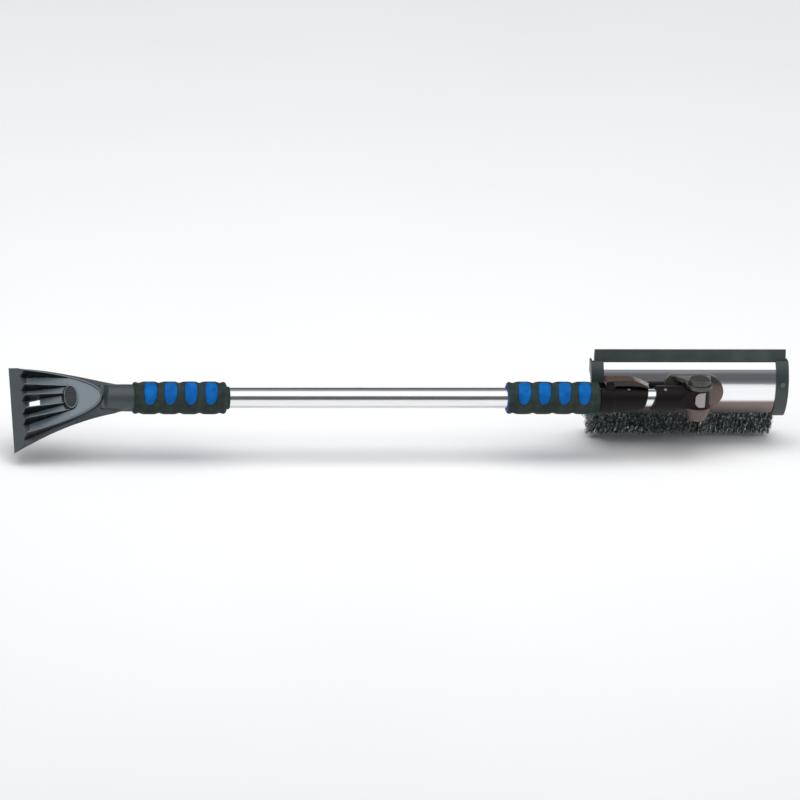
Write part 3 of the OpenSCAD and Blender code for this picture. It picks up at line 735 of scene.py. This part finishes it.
def pad(x0, centre_x, centre_turn, length, outer, front):
    """Vertices of one face of a pad, ring by ring from its middle."""
    rings, spokes = PAD_GRID
    for i in range(rings + 1):
        k = i / rings
        rise = PAD_DOME * (1 - k ** 3.2) ** 0.62 if front else -PAD_BACK * (1 - k * k)
        for j in range(spokes):
            angle = 2 * math.pi * j / spokes
            ca, sa = math.cos(angle), math.sin(angle)
            size = (abs(ca) ** OVAL_POWER + abs(sa) ** OVAL_POWER) ** (-1 / OVAL_POWER)
            along = OVAL_HALF[1] * k * sa * size * PAD_FIT
            x = OVAL_HALF[0] * (1 + OVAL_TAPER * along / OVAL_HALF[1]) * k * ca * size * PAD_FIT
            x += centre_x + OVAL_LEAN * along / OVAL_HALF[1]
            base = float(grip_radius(np.array(x), length, outer)) - PAD_SINK
            yield tuple(around(x0, x, centre_turn + along / outer, base + rise))


def pads(name, x0, length, outer):
    """Blue pads that bulge through the cover, as closed lens-shaped solids."""
    rings, spokes = PAD_GRID
    verts, faces = [], []
    for centre_x, centre_turn in oval_places(length):
        for front in (True, False):
            faces += grid_faces(rings + 1, spokes, wrap=True, start=len(verts), flip=front)
            verts += pad(x0, centre_x, centre_turn, length, outer, front)
    if name == "front":
        bead = [(1.6, 13.2), (0.5, 13.6), (-0.2, 15.2), (0.0, 16.8), (0.9, 17.7), (1.8, 17.4)]
        add_lathe(verts, faces, bead, x0)
    piece = new_piece(name + "_grip_pads", verts, faces, "handle", M["blue"],
                      (name + "_grip_core",), sharp=80)
    weld = piece.modifiers.new("weld", "WELD")
    weld.merge_threshold = 0.02 * MM


# Bristles ---------------------------------------------------------------------------------------

ROWS = 5
TUFTS = 44
PER_TUFT = 24
STEPS = 20                  # points along a filament
SIDES = 3
FILAMENT_R = 0.32
BRISTLE_LEN = 47.0
CRIMP = 1.7                 # crimp length over a full turn in radians
BRUSH_LEAN = math.radians(33)
BLOCK_CORNER = (39.6, -34.5)    # Y and Z from the pivot to where the block's lower face starts
BLOCK_W = 22.0
ROW_MARGIN = 2.4            # from the block's sides to the outer rows
ROOT_DEPTH = 1.5            # how far a filament is set into the block
CORNER = Vector((0, PIVOT.y + BLOCK_CORNER[0], PIVOT.z + BLOCK_CORNER[1]))
ACROSS_BRUSH = Vector((0, math.cos(BRUSH_LEAN), math.sin(BRUSH_LEAN)))
DOWN = Vector((0, math.sin(BRUSH_LEAN), -math.cos(BRUSH_LEAN)))


def filament_line(root_x, root_t, half, generator):
    """Points along one crimped filament that fans out a little, and the turn of its section."""
    spread = generator.normal(0, 1, 2)
    fan_x = root_x * 3.2 - 2.0 + generator.normal(0, 1.3)
    fan_t = (root_t - BLOCK_W / 2) * 0.3 + generator.normal(0, 1.2)
    phase = generator.uniform(0, 2 * math.pi)
    wave = generator.uniform(0.35, 0.6)
    long = BRISTLE_LEN * generator.uniform(0.97, 1.0)
    k = np.linspace(0, 1, STEPS)
    crimp = wave * np.sin(phase + k * long / CRIMP) * np.minimum(1, k * 4)
    x = HEAD_X + root_x * (half - 1.0) + spread[0] + fan_x * k ** 1.6 + crimp
    t = root_t + spread[1] + fan_t * k ** 1.6 + 0.6 * crimp
    m = long * k - ROOT_DEPTH
    line = [Vector((x[i], 0, 0)) + CORNER + ACROSS_BRUSH * t[i] + DOWN * m[i] for i in range(STEPS)]
    return line, phase


def add_filament(verts, faces, line, phase):
    """Adds a closed three-sided strand along a line of points."""
    start = len(verts)
    angles = [2 * math.pi * s / SIDES + phase for s in range(SIDES)]
    offsets = [(Vector((math.cos(a), 0, 0)) + ACROSS_BRUSH * math.sin(a)) * FILAMENT_R for a in angles]
    verts += [tuple(centre + offset) for centre in line for offset in offsets]
    faces += grid_faces(STEPS, SIDES, wrap=True, start=start)
    faces.append(tuple(start + s for s in range(SIDES))[::-1])
    faces.append(tuple(start + (STEPS - 1) * SIDES + s for s in range(SIDES)))


def bristles():
    """Rows of tufts of crimped filaments."""
    lo, hi = box_mm("bristles")
    half = (hi.x - lo.x) / 2
    generator = np.random.default_rng(11)
    for row in range(ROWS):
        verts, faces = [], []
        root_t = ROW_MARGIN + row * (BLOCK_W - 2 * ROW_MARGIN) / (ROWS - 1)
        shift = 0.5 * (row % 2) / TUFTS
        for tuft in range(TUFTS):
            root_x = ((tuft + 0.25) / TUFTS + shift) * 2 - 1
            for _ in range(PER_TUFT):
                line, phase = filament_line(root_x, root_t, half, generator)
                add_filament(verts, faces, line, phase)
        replaced = ("bristles",) if row == 0 else ()
        new_piece("bristle_row_%d" % (row + 1), verts, faces, "head", M["bristle"],
                  replaced, sharp=180)


# Everything else --------------------------------------------------------------------------------

# node, body, material, slot and voxel size of each moulding
MOULDINGS = (
    ("lock_collar", "handle", "black", "black_plastic", 0.5),
    ("cam_lever", "lever", "lever", "black_plastic", 0.4),
    ("pivot_arm", "extension", "black", "black_plastic", 0.5),
    ("pivot_base", "head", "brown", "brown_plastic", 0.5),
    ("pivot_button", "button", "brown", "brown_plastic", 0.4),
    ("left_end_cap", "head", "cap", "cap_plastic", 0.5),
    ("right_end_cap", "head", "cap", "cap_plastic", 0.5),
)
# node, material and bevel of each CAD node that is shown as it is
SHOWN_NODES = (
    ("squeegee_blade", "rubber", 0.5),
    ("outer_tube", "tube", 0),
    ("inner_tube", "tube", 0),
    ("back_shell", "shell", 0.3),
    ("backing_plate", "plate", 0.3),
    ("brush_block", "block", 0.5),
    ("oval_badge", "badge", 0.2),
    ("collar_bush", "bush", 0),
    ("guide_plug", "bush", 0.4),
    ("brake_shoe", "black", 0.3),
    ("knuckle_plate", "insert", 0),
    ("lever_pin", "black", 0.2),
    ("scraper_screw", "steel", 0.2),
    ("pivot_axle", "steel", 0.2),
    ("axle_screw", "steel", 0.2),
    ("base_screws", "steel", 0.2),
    ("collar_rivets", "screw", 0.3),
    ("arm_rivet", "screw", 0.3),
    ("cap_screws", "screw", 0.3),
    ("button_spring", "steel", 0),
)

scraper()
grip("rear")
grip("front")
bristles()
for node, body, material, slot, voxel in MOULDINGS:
    moulded(node, body, M[material], slot, voxel)
for node, material, bevel in SHOWN_NODES:
    keep_node(node, M[material], bevel)


# Stage ------------------------------------------------------------------------------------------

SHOWN_WIDTH_M = 0.9709       # width of the picture at the object
VIEW_AZIMUTH = -10.5
VIEW_ELEVATION = 22.5
VIEW_SHIFT_M = (0.362, 0.00255)     # how far left of and below the pivot the picture's middle is
CAMERA_M = 12.0
FLOOR_GAP_M = 0.002
FLOOR_HALF_M = 12.0
SKY = 1.3
# degrees from the front horizon over the top, and brightness there
SKY_STOPS = ((0, 0.30), (5, 0.15), (12, 0.09), (30, 0.10), (36, 0.19), (42, 0.22), (45, 0.95),
             (97, 1.0), (106, 0.40), (131, 0.17), (153, 0.11), (175, 0.04))
TOP_WATTS = 17
TOP_SIZE_M = (2.4, 1.2)
TOP_HEIGHT_M = 1.8


def camera():
    """A very long lens. The camera is rolled so that the handle lies level in the picture."""
    a, e = math.radians(VIEW_AZIMUTH), math.radians(VIEW_ELEVATION)
    back = Vector((math.sin(a) * math.cos(e), -math.cos(a) * math.cos(e), math.sin(e)))
    up = back.cross(Vector((1, 0, 0)) - back * back.x).normalized()
    right = up.cross(back).normalized()
    target = PIVOT * MM - right * VIEW_SHIFT_M[0] - up * VIEW_SHIFT_M[1]
    data = bpy.data.cameras.new("camera")
    data.lens = data.sensor_width * CAMERA_M / SHOWN_WIDTH_M
    data.clip_end = 100
    made = bpy.data.objects.new("camera", data)
    bpy.context.scene.collection.objects.link(made)
    turned = Matrix((right, up, back)).transposed().to_4x4()
    made.matrix_world = Matrix.Translation(target + back * CAMERA_M) @ turned
    bpy.context.scene.camera = made


def floor():
    lo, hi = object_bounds()
    half = FLOOR_HALF_M
    mesh = bpy.data.meshes.new("floor")
    mesh.from_pydata([(-half, -half, 0), (half, -half, 0), (half, half, 0), (-half, half, 0)], [],
                     [(0, 1, 2, 3)])
    made = bpy.data.objects.new("floor", mesh)
    made.location = ((lo.x + hi.x) / 2, 0, lo.z - FLOOR_GAP_M)
    bpy.context.scene.collection.objects.link(made)
    s = Shader("floor_pale")
    s.set(Base_Color=s.ramp(s.noise(2.0, 2), (0.3, (0.93, 0.93, 0.93)), (0.7, (0.95, 0.95, 0.95))),
          Roughness=0.9)
    mesh.materials.append(s.material)
    made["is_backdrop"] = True


def top_light():
    """A soft light over the middle that gives the floor its shadow."""
    lo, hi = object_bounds()
    middle = (lo + hi) / 2
    data = bpy.data.lights.new("top", "AREA")
    data.shape = "RECTANGLE"
    data.size, data.size_y = TOP_SIZE_M
    data.energy = TOP_WATTS
    made = bpy.data.objects.new("top", data)
    made.location = middle + Vector((0, 0, TOP_HEIGHT_M))
    made.rotation_mode = "QUATERNION"
    made.rotation_quaternion = (middle - made.location).to_track_quat("-Z", "Y")
    made.visible_glossy = False
    bpy.context.scene.collection.objects.link(made)


def studio():
    """A bright strip of sky overhead and in front, and a dark room around it for the metal to mirror."""
    world = bpy.data.worlds.new("studio")
    world.use_nodes = True
    tree = world.node_tree
    link = tree.links.new
    split = tree.nodes.new("ShaderNodeSeparateXYZ")
    link(tree.nodes.new("ShaderNodeTexCoord").outputs["Generated"], split.inputs[0])
    forward = tree.nodes.new("ShaderNodeMath")
    forward.operation = "MULTIPLY"
    forward.inputs[1].default_value = -1
    link(split.outputs["Y"], forward.inputs[0])
    swing = tree.nodes.new("ShaderNodeMath")
    swing.operation = "ARCTAN2"
    link(split.outputs["Z"], swing.inputs[0])
    link(forward.outputs[0], swing.inputs[1])
    turn = tree.nodes.new("ShaderNodeMapRange")
    turn.inputs["From Max"].default_value = math.pi
    link(swing.outputs[0], turn.inputs["Value"])
    ramp = tree.nodes.new("ShaderNodeValToRGB")
    link(turn.outputs["Result"], ramp.inputs["Fac"])
    ends = ramp.color_ramp.elements
    while len(ends) < len(SKY_STOPS):
        ends.new(0.5)
    for end, (degrees, bright) in zip(ends, SKY_STOPS):
        cool = 1.07 if bright < 0.3 else 1.01
        end.position = degrees / 180
        end.color = (bright * 2 / (1 + cool), bright, bright * cool, 1)
    background = tree.nodes["Background"]
    link(ramp.outputs["Color"], background.inputs["Color"])
    background.inputs["Strength"].default_value = SKY
    bpy.context.scene.world = world
    bpy.context.scene.view_settings.view_transform = "Standard"


camera()
floor()
studio()
top_light()
